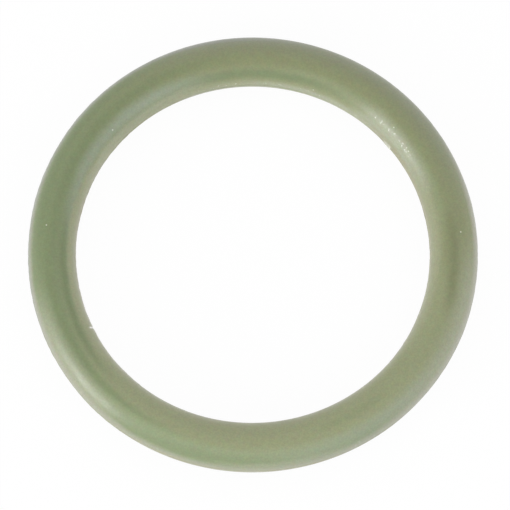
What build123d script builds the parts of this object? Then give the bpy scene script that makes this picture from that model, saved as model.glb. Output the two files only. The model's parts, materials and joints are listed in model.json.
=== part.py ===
# O-ring of round section, moulded in one piece from green rubber. The mould parts in the
# ring's middle plane, so its trimmed flash stands as a fine line round the bore and another
# round the outside. The ring lies flat, its axis is Z and the origin is its middle.
import math
import os

from build123d import *

# Driving dimensions, in millimetres and degrees
inner_diameter = 22.2  # bore across the round of the section, clear of the flash
section_diameter = 3.0  # thickness of the round section
flash_height = 0.04  # how far the trimmed flash stands out of the round
flash_land = 0.14  # width of the flat that trimming leaves on the flash
flash_flank_angle = 45.0  # slope of the flash's flanks, measured from the ring's axis
flash_lines = 2  # a flat parting leaves one round the outside and one round the bore

# Sizes that follow from those
section_radius = section_diameter / 2
ring_radius = inner_diameter / 2 + section_radius  # from the axis to the middle of the section
flash_tip_radius = section_radius + flash_height  # from the middle of the section to the land
flash_depth = 2 * flash_height  # half of it is sunk in the round, so that the two join
flash_base = flash_land + 2 * flash_depth / math.tan(math.radians(flash_flank_angle))

# The whole ring: a round with a flash line on either side, turned about the axis
with BuildPart() as o_ring:
    with BuildSketch(Plane.XZ) as section:
        with Locations((ring_radius, 0)):
            Circle(section_radius)
            with PolarLocations(flash_tip_radius, flash_lines):
                Trapezoid(
                    flash_base,
                    flash_depth,
                    flash_flank_angle,
                    rotation=-90,
                    align=(Align.CENTER, Align.MAX),
                )
    revolve(axis=Axis.Z)
o_ring.part.label = "o_ring"

os.makedirs("parts", exist_ok=True)
export_step(o_ring.part, "parts/o_ring.step")
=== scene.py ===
import json
import math

import bpy
import numpy as np
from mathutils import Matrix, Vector, noise


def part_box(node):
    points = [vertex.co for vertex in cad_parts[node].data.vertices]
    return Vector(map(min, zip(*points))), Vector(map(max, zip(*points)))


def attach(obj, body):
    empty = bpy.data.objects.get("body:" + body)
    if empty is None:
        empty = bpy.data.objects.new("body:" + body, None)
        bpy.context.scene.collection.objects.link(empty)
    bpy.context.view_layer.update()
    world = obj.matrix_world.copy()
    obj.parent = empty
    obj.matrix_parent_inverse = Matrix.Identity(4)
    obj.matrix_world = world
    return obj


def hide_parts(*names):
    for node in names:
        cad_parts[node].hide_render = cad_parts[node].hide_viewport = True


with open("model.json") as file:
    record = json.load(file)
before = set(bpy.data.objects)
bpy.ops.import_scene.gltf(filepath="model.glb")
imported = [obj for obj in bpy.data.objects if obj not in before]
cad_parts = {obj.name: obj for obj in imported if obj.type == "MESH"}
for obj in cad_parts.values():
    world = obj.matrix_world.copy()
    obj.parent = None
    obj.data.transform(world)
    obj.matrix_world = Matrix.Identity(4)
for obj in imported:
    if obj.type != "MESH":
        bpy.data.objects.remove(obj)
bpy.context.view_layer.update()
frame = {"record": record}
scene = bpy.context.scene
scene.view_settings.view_transform = "Standard"

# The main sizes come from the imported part, here in millimetres
mm = 0.001
mountRadius = {mount["name"]: mount["dims"]["r_mm"] for mount in frame["record"]["mounts"]}
boreRadius = mountRadius["inner_bore"]
rimRadius = mountRadius["outer_rim"]
ringRadius = (boreRadius + rimRadius) / 2  # from the axis to the middle of the section
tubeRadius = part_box("o_ring")[1].z / mm
lipHeight = (rimRadius - boreRadius) / 2 - tubeRadius  # how far the trimmed flash may stand out
print(f"frame: ring radius {ringRadius:.2f}, section radius {tubeRadius:.2f}, flash {lipHeight:.2f} mm")


# Lengths are in millimetres, and angles in degrees round the axis from +X, seen from above
ringForm = {
    "columns": 1150,  # even steps round the ring
    "markColumns": 36,  # extra steps packed in at each mark
    "markReach": 0.4,  # either side of a mark, along the ring
    "flankRows": 24,  # steps over the top, and as many underneath
    "fuller": 0.0325,  # section wider by this front and back, and narrower at the sides
    "spread": 0.022,  # mean widening of the section
    "lobes": ((3, 0.012, 113), (4, 0.0085, 50)),  # waves out of round: how many, how high, where
}
fullBore = {"angle": 28.0, "reach": 44.0, "height": 0.035}  # the bore stands in a little here

# A wave of uneven flash is noise, given by its strength, scale and seed
trimmedFlash = {
    "rows": (0.035, 0.06, 0.085, 0.115, 0.17),  # steps either side of a flash line
    "flat": 0.06,  # half the width of the flash's top
    "foot": 0.115,  # half its width where it meets the round
    "mean": 0.45,  # height left by the trimming, as a share of the part's own flash
    "least": 0.08,
    "waves": ((0.5, 5, 1.3), (0.35, 38, 8.1)),
    "pale": 0.04,  # how white its edge is
}
# Untrimmed flash in the bore
flashTab = {
    "start": 38.65,  # torn off short here
    "end": 42.8,  # and run out to nothing here
    "tornEdge": 0.03,  # half the length of the step at its torn end
    "thinsFrom": 0.45,  # share of its length at which it starts to thin
    "height": 0.045,
    "mean": 0.85,  # share of the height that it wavers about
    "wave": (0.3, 60, 5.5),
    "scar": 0.42,  # how far the pale skin beside it reaches, up and down the bore
    "pale": 0.45,
}
# A mark's "tube" is its place round the section, from 0 at the rim over the top to 180 in the bore
nick = {
    "angle": 205.9,
    "tube": 164.0,
    "halfWidth": 0.052,
    "halfLength": 0.4,
    "slant": -0.15,
    "depth": 0.1,
    "pale": 1.7,  # over 1, so that the white reaches further out
}
scuff = {
    "angle": 297.2,
    "tube": 14.0,
    "halfWidth": 0.06,
    "halfLength": 0.2,
    "slant": 1.25,
    "height": 0.02,
    "pale": 0.12,
}


def wander(angles, wave):
    # noise that closes on itself round the ring
    strength, scale, seed = wave
    places = [Vector((math.cos(a) * scale, math.sin(a) * scale, seed)) for a in angles]
    return strength * np.array([noise.noise(p) for p in places])[:, None]


def smooth(low, high, value):
    t = np.clip((value - low) / (high - low), 0, 1)
    return t * t * (3 - 2 * t)


def columnAngles():
    even = np.linspace(0, 2 * math.pi, ringForm["columns"], endpoint=False)
    packed = [even]
    reach = ringForm["markReach"] / ringRadius
    for degrees in (nick["angle"], flashTab["start"], scuff["angle"]):
        step = np.linspace(-1, 1, ringForm["markColumns"])
        packed.append(math.radians(degrees) + reach * np.sign(step) * step ** 2)  # closest at the mark
    return np.unique(np.concatenate(packed) % (2 * math.pi))


def tubeAngles():
    # the rows crowd at the flash lines, outside at 0 and in the bore at pi
    lip = np.array(trimmedFlash["rows"]) / tubeRadius
    crown = np.linspace(lip[-1], math.pi - lip[-1], ringForm["flankRows"] + 1)
    half = np.concatenate([[0], lip[:-1], crown, math.pi - lip[-2::-1]])
    return np.concatenate([half, half + math.pi])


def turnFrom(degrees, angles):
    # the short way round, in radians
    return (angles - math.radians(degrees) + math.pi) % (2 * math.pi) - math.pi


def gap(angles, degrees):
    # signed distance along the ring from a mark, in mm at the bore
    return turnFrom(degrees, angles) * boreRadius


def markShape(a, t, mark):
    # soft oval on the skin, 1 at its middle, leaning by its slant
    offTube = tubeRadius * turnFrom(mark["tube"], t)
    offRing = gap(a, mark["angle"]) - mark["slant"] * offTube
    return np.exp(-(offRing / mark["halfWidth"]) ** 2 - (offTube / mark["halfLength"]) ** 4)


def makeRing(material):
    around = columnAngles()
    a = around[:, None]
    t = tubeAngles()[None, :]
    onBore = np.cos(t) < 0

    # the section, by its reach outwards from its middle and its height
    halfWidth = tubeRadius + ringForm["spread"] - ringForm["fuller"] * np.cos(2 * a)
    middle = ringRadius
    for count, high, where in ringForm["lobes"]:
        middle = middle + high * np.cos(count * (a - math.radians(where)))
    reach = halfWidth * np.cos(t)
    height = tubeRadius * np.sin(t)
    swellReach = math.radians(fullBore["reach"]) * boreRadius
    swell = 1 - smooth(0, swellReach, np.abs(gap(a, fullBore["angle"])))
    reach = reach + fullBore["height"] * swell * np.minimum(np.cos(t), 0)

    # trimmed flash, uneven along its length
    ragged = trimmedFlash["mean"]
    for wave in trimmedFlash["waves"]:
        ragged = ragged + wander(around, wave)
    ragged = lipHeight * np.clip(ragged, trimmedFlash["least"], 1)
    fromLine = tubeRadius * np.abs(np.arcsin(np.sin(t)))  # round the section from a flash line
    flank = trimmedFlash["foot"] - trimmedFlash["flat"]
    lip = 1 - np.clip((fromLine - trimmedFlash["flat"]) / flank, 0, 1)
    reach = reach + np.sign(np.cos(t)) * ragged * lip

    # flash left standing in the bore, with a torn end
    along = gap(a, flashTab["start"])
    length = math.radians(flashTab["end"] - flashTab["start"]) * boreRadius
    tab = smooth(-flashTab["tornEdge"], flashTab["tornEdge"], along)
    tab = tab * (1 - smooth(flashTab["thinsFrom"] * length, length, along))
    tab = tab * (flashTab["mean"] + wander(around, flashTab["wave"]))
    reach = reach - flashTab["height"] * tab * lip * onBore
    scar = 1 - smooth(trimmedFlash["flat"], flashTab["scar"], fromLine)
    scar = flashTab["pale"] * tab * scar * onBore

    # scuff on the rim and nick in the bore's edge, along the section's own normals
    rub = markShape(a, t, scuff)
    cut = markShape(a, t, nick)
    lift = scuff["height"] * rub - nick["depth"] * cut
    reach = reach + lift * np.cos(t)
    height = height + lift * np.sin(t)

    boxSide = rimRadius / np.maximum(np.abs(np.cos(a)), np.abs(np.sin(a)))
    radius = np.minimum(middle + reach, boxSide)  # stays in the part's own box
    points = np.stack([radius * np.cos(a), radius * np.sin(a), height], axis=-1) * mm
    torn = trimmedFlash["pale"] * lip * ragged / lipHeight + scar + scuff["pale"] * rub + nick["pale"] * cut
    ring = meshFromGrid("o_ring_visual", points, np.clip(torn, 0, 1))
    ring.data.materials.append(material)
    return ring


def meshFromGrid(name, points, torn):
    columns, rows = points.shape[:2]
    index = np.arange(columns * rows).reshape(columns, rows)
    nextColumn = np.roll(index, -1, axis=0)
    corners = [index, nextColumn, np.roll(nextColumn, -1, axis=1), np.roll(index, -1, axis=1)]
    faces = np.stack(corners, axis=-1).reshape(-1, 4)
    mesh = bpy.data.meshes.new(name)
    mesh.from_pydata(points.reshape(-1, 3).tolist(), [], faces.tolist())
    mesh.polygons.foreach_set("use_smooth", np.ones(len(faces), dtype=bool))
    tornLayer = mesh.attributes.new("torn", "FLOAT", "POINT")
    tornLayer.data.foreach_set("value", torn.astype(np.float32).ravel())
    layUvStrips(mesh, columns, rows)
    mesh.update()
    mesh.validate()
    ring = bpy.data.objects.new(name, mesh)
    scene.collection.objects.link(ring)
    print(f"ring: {columns} columns, {rows} rows, {2 * len(faces)} triangles")
    return ring


uvStrips = {"count": 3, "margin": 0.01}  # the ring's skin, cut into strips laid one above another


def layUvStrips(mesh, columns, rows):
    column, row = np.meshgrid(np.arange(columns), np.arange(rows), indexing="ij")
    perStrip = math.ceil(columns / uvStrips["count"])
    strip = column // perStrip
    u = np.stack([column, column + 1, column + 1, column], axis=-1) - (strip * perStrip)[..., None]
    v = np.stack([row, row, row + 1, row + 1], axis=-1)
    margin = uvStrips["margin"]
    u = margin + (1 - 2 * margin) * u / perStrip
    v = (strip[..., None] + margin + (1 - 2 * margin) * v / rows) / uvStrips["count"]
    layer = mesh.uv_layers.new(name="OFBake")
    layer.uv.foreach_set("vector", np.stack([u, v], axis=-1).astype(np.float32).ravel())


# Node helpers
def addNode(tree, kind, settings=None, **inputs):
    node = tree.nodes.new(kind)
    for key, value in (settings or {}).items():
        setattr(node, key, value)
    for key, value in inputs.items():
        plug(tree, node.inputs[key.replace("_", " ")], value)
    return node


def plug(tree, socket, value):
    if isinstance(value, bpy.types.NodeSocket):
        tree.links.new(value, socket)
    else:
        socket.default_value = value


def calc(tree, operation, *values):
    node = addNode(tree, "ShaderNodeMath", {"operation": operation})
    for socket, value in zip(node.inputs, values):
        plug(tree, socket, value)
    return node.outputs[0]


def vectorCalc(tree, operation, *values):
    node = addNode(tree, "ShaderNodeVectorMath", {"operation": operation})
    for socket, value in zip(node.inputs, values):
        plug(tree, socket, value)
    return node.outputs["Value" if operation in ("LENGTH", "DISTANCE", "DOT_PRODUCT") else "Vector"]


def ease(tree, value, low, high, toLow=0.0, toHigh=1.0):
    node = addNode(tree, "ShaderNodeMapRange", {"interpolation_type": "SMOOTHSTEP"})
    for socket, given in zip(node.inputs, (value, low, high, toLow, toHigh)):
        plug(tree, socket, given)
    return node.outputs[0]


def grain(tree, place, scale, detail=2.0):
    return addNode(tree, "ShaderNodeTexNoise", Vector=place, Scale=scale, Detail=detail).outputs["Fac"]


def blendColour(tree, amount, under, over, way="MIX"):
    # a Mix node's colours are its sockets 6 and 7, and come out at 2
    node = addNode(tree, "ShaderNodeMix", {"data_type": "RGBA", "blend_type": way})
    plug(tree, node.inputs[0], amount)
    plug(tree, node.inputs[6], under)
    plug(tree, node.inputs[7], over)
    return node.outputs[2]


greenRubber = {
    "sage": (0.186, 0.230, 0.114, 1),  # clean rubber
    "deepGreen": (0.158, 0.203, 0.092, 1),
    "leaf": (0.244, 0.290, 0.156, 1),
    "olive": (0.220, 0.244, 0.121, 1),
    "darkOlive": (0.180, 0.200, 0.096, 1),
    "tan": (0.267, 0.292, 0.157, 1),
    "chalk": (0.288, 0.307, 0.200, 1),  # pale, for painted highlights, painted reflections and a haze on the near right
    "paleChalk": (0.342, 0.364, 0.254, 1),
    "pearl": (0.315, 0.318, 0.235, 1),
    "ash": (0.246, 0.257, 0.218, 1),
    "beige": (0.288, 0.303, 0.178, 1),
    "blueGrey": (0.247, 0.287, 0.190, 1),
    "plumGrey": (0.205, 0.218, 0.180, 1),
    "umber": (0.296, 0.284, 0.166, 1),
    "torn": (0.90, 0.90, 0.84, 1),  # flash and torn rubber are nearly white
    "mottle": 0.07,  # how much fine blotches lighten and darken
    "stain": 0.10,  # and how much each colour channel drifts
    "stainPerMm": 3.5,
    "grainPerMm": 9.0,
    "grainDepth": 0.0008,  # mm
    "grainSpan": (0.25, 0.75),  # noise that counts as lowest and highest
    "roughness": (0.32, 0.40),
    "roughPerMm": 1.7,
    "roughSpan": (0.3, 0.7),
    "ior": 1.5,
    "sheen": 0.12,  # dusty glow at the edges
    "raggedEdge": 0.03,  # how far noise breaks up a patch's edge
    "raggedPerMm": 0.8,
    "raggedDetail": 3.0,
    "settledFade": 0.4,  # height over which a patch with an "above" fades out
}

# Patches painted over the clean rubber in this order: olive, tan and green tones, painted highlights of
# the panels, painted reflections along the rim and the bore's edge, and darker bands of painted
# reflection. "at" is degrees round the ring, with full strength to "core" either side and none past
# "reach", or all the way round where there is no reach. "across" runs from -1 in the bore to 1 at the
# rim, "band" is half the patch's width there, "soft" the share of it that fades, and "lean" and "arch"
# bend the band. A patch with "above" stays above that height, from -1 underneath to 1 on top. "amount"
# is how strongly the tint shows
skinPatches = [
    {"tint": "olive", "at": 45, "core": 50, "reach": 120, "across": 0.0, "band": 3.0, "soft": 0.3},
    {"tint": "leaf", "at": 264, "core": 20, "reach": 56, "across": 0.4, "band": 0.7},
    {"tint": "chalk", "at": 333, "core": 8, "reach": 34, "across": 1.0, "band": 1.08, "soft": 0.8},
    # painted reflection of the table and room over the near side of the bore, up to a slanting edge
    {"tint": "tan", "at": 266, "core": 20, "reach": 100, "across": -1.4, "band": 2.0, "soft": 0.2,
     "lean": 0.4, "arch": 0.35},
    # painted reflection of the right panel on the near right, towards the rim
    {"tint": "blueGrey", "at": 300, "reach": 32, "across": 0.8, "band": 0.6, "amount": 0.55},
    {"tint": "sage", "at": 248, "reach": 34, "across": 0.79, "band": 0.36, "amount": 0.9},
    # painted highlight of the left panel on the near left of the rim
    {"tint": "chalk", "at": 212, "reach": 24, "across": 0.88, "band": 0.85, "amount": 0.9},
    # painted reflection brightening the rim round the near half
    {"tint": "pearl", "at": 268, "core": 102, "reach": 132, "across": 1.2, "band": 0.32, "soft": 0.5,
     "arch": 0.13, "amount": 0.8},
    # painted reflection, grey, on the rim at the far left, upper side only
    {"tint": "ash", "at": 142, "core": 40, "reach": 72, "across": 1.03, "band": 0.28, "soft": 0.5,
     "lean": 0.15, "above": 0.1, "amount": 0.66},
    {"tint": "umber", "at": 265, "core": 14, "reach": 40, "across": 1.07, "band": 0.07, "soft": 0.5,
     "amount": 0.5},
    # painted reflection in a thin band along the near rim
    {"tint": "chalk", "at": 277, "core": 6, "reach": 20, "across": 0.91, "band": 0.12, "amount": 0.6},
    # painted reflection, lavender grey, on the far side of the rim, upper side only
    {"tint": "plumGrey", "at": 68, "core": 26, "reach": 62, "across": 1.05, "band": 1.2,
     "above": 0.25, "amount": 0.48},
    # darker band of painted reflection, slanting down the bore on the left
    {"tint": "deepGreen", "at": 189, "core": 8, "reach": 40, "across": -0.44, "band": 0.27,
     "lean": 0.36, "amount": 0.9},
    {"tint": "deepGreen", "at": 142, "reach": 52, "across": -0.05, "band": 0.4, "amount": 0.55},
    {"tint": "deepGreen", "at": 149, "reach": 46, "across": 0.65, "band": 0.42, "amount": 0.8},
    # darker band of painted reflection on the near left
    {"tint": "deepGreen", "at": 210, "core": 8, "reach": 42, "across": 0.21, "band": 0.23, "amount": 0.5},
    {"tint": "deepGreen", "at": 90, "core": 8, "reach": 36, "across": -0.72, "band": 0.28, "amount": 0.9},
    # painted highlight: the left panel's highlight in the bore, running on either side
    {"tint": "leaf", "at": 67, "core": 4, "reach": 17, "across": -0.47, "band": 0.22, "amount": 0.4},
    {"tint": "leaf", "at": 20, "core": 4, "reach": 17, "across": -0.36, "band": 0.25, "amount": 0.5},
    {"tint": "sage", "at": 300, "reach": 14, "across": -0.06, "band": 0.3, "amount": 0.35},
    {"tint": "tan", "at": 339, "reach": 20, "across": -0.25, "band": 0.6, "amount": 0.65},
    {"tint": "darkOlive", "at": 356, "core": 4, "reach": 18, "across": 0.02, "band": 0.38,
     "lean": -0.4, "amount": 0.9},
    # painted highlight of the right panel in the bore at the far left
    {"tint": "blueGrey", "at": 140, "core": 10, "reach": 43, "across": -0.54, "band": 0.42,
     "arch": 1.0, "amount": 0.95},
    # painted reflection of the white table, and its bounced light, along the bore's edge
    {"tint": "beige", "at": 270, "across": -1.2, "band": 0.72, "soft": 0.4, "arch": 0.15},
    {"tint": "beige", "at": 180, "core": 28, "reach": 50, "across": -1.2, "band": 0.64, "soft": 0.26,
     "lean": 0.12, "amount": 0.7},
    {"tint": "beige", "at": 354, "core": 12, "reach": 35, "across": -1.2, "band": 0.88, "soft": 0.5},
    # painted highlight of the left panel in the bore at the far right
    {"tint": "paleChalk", "at": 36, "core": 6, "reach": 21, "across": -0.64, "band": 0.46,
     "lean": 0.2, "amount": 0.75},
    {"tint": "paleChalk", "at": 41, "core": 7, "reach": 18, "across": -0.9, "band": 0.16, "amount": 0.95},
    {"tint": "umber", "at": 285, "core": 110, "reach": 150, "across": -1.03, "band": 0.14, "amount": 0.85},
    # painted reflection along the bore's edge
    {"tint": "paleChalk", "at": 66, "core": 10, "reach": 31, "across": -1.01, "band": 0.09, "amount": 0.6},
    {"tint": "paleChalk", "at": 132, "core": 12, "reach": 32, "across": -0.87, "band": 0.14,
     "amount": 0.5},
    {"tint": "darkOlive", "at": 98, "core": 12, "reach": 28, "across": -1.036, "band": 0.012,
     "amount": 0.5},
]

# Specks lying on the skin, cut out of noise, with painted glints where the left panel's highlight falls
# in the bore, and the largest specks set one by one
dustAndGlints = {
    "tint": (0.72, 0.74, 0.62, 1),
    "perMm": 5.5,
    "clear": 0.8,  # noise above this is a speck on clear skin
    "thick": 0.505,  # and above this in a dusty place or among the painted glints
    "fade": 0.25,  # how much further up a speck hides the skin
    "fleckRadius": 0.065,  # mm
}
# Places of thick dust and of painted glints are laid out as the patches are
dustAndGlintPlaces = [
    # painted glints, in the left panel's highlight in the bore
    {"at": 41, "core": 7, "reach": 14, "across": -0.66, "band": 0.22},
    {"at": 75, "core": 20, "reach": 50, "across": -1.0, "band": 0.07, "amount": 0.8},
]
# In degrees, round the ring and round the section
flecks = [
    (138.5, 125.4), (173.4, 74.0), (4.6, 71.8), (36.0, 133.5),
    (41.8, 119.0), (38.8, 177.0), (70.2, 153.5), (67.8, 166.5),
]


def skinPlaces(tree):
    # where a point of the skin is, by several measures
    place = addNode(tree, "ShaderNodeTexCoord").outputs["Object"]
    spot = vectorCalc(tree, "MULTIPLY", place, (1 / mm, 1 / mm, 1 / mm))
    axes = addNode(tree, "ShaderNodeSeparateXYZ", Vector=spot).outputs
    level = vectorCalc(tree, "MULTIPLY", spot, (1, 1, 0))
    fromMiddle = calc(tree, "SUBTRACT", vectorCalc(tree, "LENGTH", level), ringRadius)
    turn = calc(tree, "ARCTAN2", axes["Y"], axes["X"])
    roll = calc(tree, "ARCTAN2", axes["Z"], fromMiddle)
    alongRing = calc(tree, "MULTIPLY", turn, ringRadius)
    roundTube = calc(tree, "MULTIPLY", roll, tubeRadius)
    return {
        "spot": spot,  # in mm
        "heading": vectorCalc(tree, "NORMALIZE", level),
        "across": calc(tree, "DIVIDE", fromMiddle, tubeRadius),  # from -1 in the bore to 1 at the rim
        "upright": calc(tree, "DIVIDE", axes["Z"], tubeRadius),  # from -1 underneath to 1 on top
        "laidFlat": addNode(tree, "ShaderNodeCombineXYZ", X=alongRing, Y=roundTube).outputs[0],  # in mm
    }


def skinPatch(tree, patch, skin, ragged):
    # fades along the ring by the cosine from the patch's middle, and across it by the bent band
    turn = math.radians(patch["at"])
    near = vectorCalc(tree, "DOT_PRODUCT", skin["heading"], (math.cos(turn), math.sin(turn), 0))
    aside = vectorCalc(tree, "DOT_PRODUCT", skin["heading"], (-math.sin(turn), math.cos(turn), 0))
    line = calc(tree, "ADD", skin["across"], ragged)
    line = calc(tree, "MULTIPLY_ADD", aside, -patch.get("lean", 0), line)
    line = calc(tree, "MULTIPLY_ADD", calc(tree, "SUBTRACT", 1.0, near), patch.get("arch", 0), line)
    offset = calc(tree, "ABSOLUTE", calc(tree, "SUBTRACT", line, patch["across"]))
    full = patch["band"] * (1 - patch.get("soft", 1.0))
    cover = ease(tree, offset, patch["band"], full, 0.0, patch.get("amount", 1.0))
    if "reach" in patch:
        core = math.cos(math.radians(patch.get("core", 0)))
        reach = math.cos(math.radians(patch["reach"]))
        cover = calc(tree, "MULTIPLY", cover, ease(tree, near, reach, core))
    if "above" in patch:
        bare = patch["above"] - greenRubber["settledFade"]
        cover = calc(tree, "MULTIPLY", cover, ease(tree, skin["upright"], bare, patch["above"]))
    return cover


def skinColour(tree, skin, fine):
    look = greenRubber
    edge = look["raggedEdge"]
    ragged = grain(tree, skin["spot"], look["raggedPerMm"], look["raggedDetail"])
    ragged = ease(tree, ragged, *look["grainSpan"], -edge, edge)
    ragged = calc(tree, "MULTIPLY", ragged, calc(tree, "ABSOLUTE", skin["upright"]))  # none on steep skin
    colour = look["sage"]
    for patch in skinPatches:
        colour = blendColour(tree, skinPatch(tree, patch, skin, ragged), colour, look[patch["tint"]])
    shade = ease(tree, fine, *look["grainSpan"], 1 - look["mottle"], 1 + look["mottle"])
    colour = blendColour(tree, 1.0, colour, shade, "MULTIPLY")
    stain = look["stain"]
    drift = addNode(tree, "ShaderNodeTexNoise", Vector=skin["spot"], Scale=look["stainPerMm"])
    drift = vectorCalc(tree, "MULTIPLY_ADD", drift.outputs["Color"], [2 * stain] * 3, [1 - stain] * 3)
    return blendColour(tree, 1.0, colour, drift, "MULTIPLY")


def dustAndGlintCover(tree, skin):
    thick = 0.0
    for place in dustAndGlintPlaces:
        thick = calc(tree, "MAXIMUM", thick, skinPatch(tree, place, skin, 0.0))
    least = calc(tree, "MULTIPLY_ADD", thick, dustAndGlints["thick"] - dustAndGlints["clear"], dustAndGlints["clear"])
    clumps = calc(tree, "SUBTRACT", grain(tree, skin["laidFlat"], dustAndGlints["perMm"]), least)
    cover = ease(tree, clumps, 0.0, dustAndGlints["fade"])
    for turn, roll in flecks:
        turn = (turn + 180) % 360 - 180  # the skin laid flat is cut at 180 degrees
        middle = (math.radians(turn) * ringRadius, math.radians(roll) * tubeRadius, 0)
        away = vectorCalc(tree, "DISTANCE", skin["laidFlat"], middle)
        cover = calc(tree, "MAXIMUM", cover, ease(tree, away, dustAndGlints["fleckRadius"], 0.0))
    return cover


def greenRubberMaterial():
    look = greenRubber
    material = bpy.data.materials.new("green_rubber_satin")
    material.use_nodes = True
    tree = material.node_tree
    tree.nodes.clear()
    skin = skinPlaces(tree)
    fine = grain(tree, skin["spot"], look["grainPerMm"])
    colour = skinColour(tree, skin, fine)
    colour = blendColour(tree, dustAndGlintCover(tree, skin), colour, dustAndGlints["tint"])
    torn = addNode(tree, "ShaderNodeAttribute", {"attribute_name": "torn"}).outputs["Fac"]
    colour = blendColour(tree, torn, colour, look["torn"])
    rough = grain(tree, skin["spot"], look["roughPerMm"])
    rough = ease(tree, rough, *look["roughSpan"], *look["roughness"])
    bump = addNode(tree, "ShaderNodeBump", Height=fine, Distance=look["grainDepth"] * mm, Strength=1.0)

    shader = addNode(tree, "ShaderNodeBsdfPrincipled", IOR=look["ior"], Sheen_Weight=look["sheen"])
    plug(tree, shader.inputs["Base Color"], colour)
    plug(tree, shader.inputs["Roughness"], rough)
    plug(tree, shader.inputs["Normal"], bump.outputs[0])
    output = addNode(tree, "ShaderNodeOutputMaterial")
    tree.links.new(shader.outputs[0], output.inputs["Surface"])
    print(f"material: green rubber, {len(skinPatches)} patches, {len(flecks)} flecks")
    return material


# White table, which stays white to the eye and in reflections but still takes the ring's shadow
table = {
    "halfSide": 4.0,  # m
    "paint": (0.92, 0.92, 0.92, 1),
    "glow": 0.96,  # share of plain white where it is seen, and the rest is lit paint
}


def makeTable():
    half = table["halfSide"]
    low = -tubeRadius * mm
    corners = [(-half, -half, low), (half, -half, low), (half, half, low), (-half, half, low)]
    mesh = bpy.data.meshes.new("table")
    mesh.from_pydata(corners, [], [(0, 1, 2, 3)])
    floor = bpy.data.objects.new("table", mesh)
    scene.collection.objects.link(floor)
    material = bpy.data.materials.new("white_table")
    material.use_nodes = True
    tree = material.node_tree
    tree.nodes.clear()
    rays = addNode(tree, "ShaderNodeLightPath").outputs
    seen = calc(tree, "MAXIMUM", rays["Is Camera Ray"], rays["Is Glossy Ray"])
    seen = calc(tree, "MAXIMUM", seen, rays["Is Transmission Ray"])
    paint = addNode(tree, "ShaderNodeBsdfDiffuse", Color=table["paint"])
    glow = addNode(tree, "ShaderNodeEmission", Color=(1, 1, 1, 1), Strength=1.0)
    mix = addNode(tree, "ShaderNodeMixShader", Fac=calc(tree, "MULTIPLY", seen, table["glow"]))
    tree.links.new(paint.outputs[0], mix.inputs[1])
    tree.links.new(glow.outputs[0], mix.inputs[2])
    output = addNode(tree, "ShaderNodeOutputMaterial")
    tree.links.new(mix.outputs[0], output.inputs["Surface"])
    mesh.materials.append(material)
    print("table: white, at the ring's underside")


# Soft panels round the ring: bearing and lift of the middle in degrees, wide and tall as angles,
# glow as radiance
panels = {
    "left_panel": {"bearing": 208, "lift": 12, "wide": 24, "tall": 40, "glow": 5.9,
                   "tint": (0.96, 0.98, 1)},
    "front_panel": {"bearing": 275, "lift": 34, "wide": 105, "tall": 48, "glow": 0.7,
                    "tint": (1, 0.98, 0.98)},
    "right_panel": {"bearing": 320, "lift": 30, "wide": 40, "tall": 40, "glow": 0.5,
                    "tint": (0.6, 0.7, 1)},
    "far_panel": {"bearing": 60, "lift": 40, "wide": 110, "tall": 72, "glow": 0.3,
                  "tint": (1, 0.92, 0.95)},
}
panelDistance = 0.5  # m


def makePanels():
    for name, panel in panels.items():
        bearing = math.radians(panel["bearing"])
        lift = math.radians(panel["lift"])
        level = math.cos(lift)
        away = Vector((math.cos(bearing) * level, math.sin(bearing) * level, math.sin(lift)))
        lamp = bpy.data.lights.new(name, "AREA")
        lamp.shape = "RECTANGLE"
        lamp.size = 2 * panelDistance * math.tan(math.radians(panel["wide"] / 2))
        lamp.size_y = 2 * panelDistance * math.tan(math.radians(panel["tall"] / 2))
        lamp.energy = panel["glow"] * math.pi * lamp.size * lamp.size_y
        lamp.color = panel["tint"]
        piece = bpy.data.objects.new(name, lamp)
        piece.location = away * panelDistance
        piece.rotation_euler = (-away).to_track_quat("-Z", "Y").to_euler()
        piece.visible_camera = False
        scene.collection.objects.link(piece)
    print(f"light: {len(panels)} soft panels")


# Room light: dim, with a white band at the horizon behind the table's edge. The band's top and end are
# heights from 0 at the horizon to 1 overhead, and it fades between them
room = {"level": 0.66, "horizon": 1.2, "bandTop": 0.2, "bandEnd": 0.28}


def makeRoom():
    world = bpy.data.worlds.new("room")
    world.use_nodes = True
    tree = world.node_tree
    tree.nodes.clear()
    way = addNode(tree, "ShaderNodeTexCoord").outputs["Generated"]
    height = addNode(tree, "ShaderNodeSeparateXYZ", Vector=way).outputs["Z"]
    level = ease(tree, height, room["bandTop"], room["bandEnd"], room["horizon"], room["level"])
    background = addNode(tree, "ShaderNodeBackground", Color=(1, 1, 1, 1), Strength=level)
    output = addNode(tree, "ShaderNodeOutputWorld")
    tree.links.new(background.outputs[0], output.inputs["Surface"])
    scene.world = world
    print("room: dim, with a white horizon")


# Long lens, so the ring's outline shows no perspective
photoView = {
    "elevation": 73.6,  # degrees
    "distance": 1.2,  # m
    "clipEnd": 10,  # m
    "frameWidth": 31.96,  # mm across the picture at the ring
    "aside": 0.142,  # mm that the ring sits left of the picture's middle
    "above": 0.04,  # mm that it sits above the middle
}


def makeCamera():
    lens = bpy.data.cameras.new("long_lens")
    lens.lens = lens.sensor_width * photoView["distance"] / (photoView["frameWidth"] * mm)
    lens.clip_end = photoView["clipEnd"]
    camera = bpy.data.objects.new("long_lens", lens)
    up = math.radians(photoView["elevation"])
    back = Vector((0, -math.cos(up), math.sin(up)))
    drop = -photoView["above"]
    aim = Vector((photoView["aside"], drop * math.sin(up), drop * math.cos(up))) * mm
    camera.location = aim + back * photoView["distance"]
    camera.rotation_euler = (-back).to_track_quat("-Z", "Y").to_euler()
    scene.collection.objects.link(camera)
    scene.camera = camera
    print(f"camera: {lens.lens:.0f} mm lens, {photoView['elevation']} degrees up")


ring = makeRing(greenRubberMaterial())
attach(ring, "root")
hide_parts("o_ring")
makeTable()
makePanels()
makeRoom()
makeCamera()
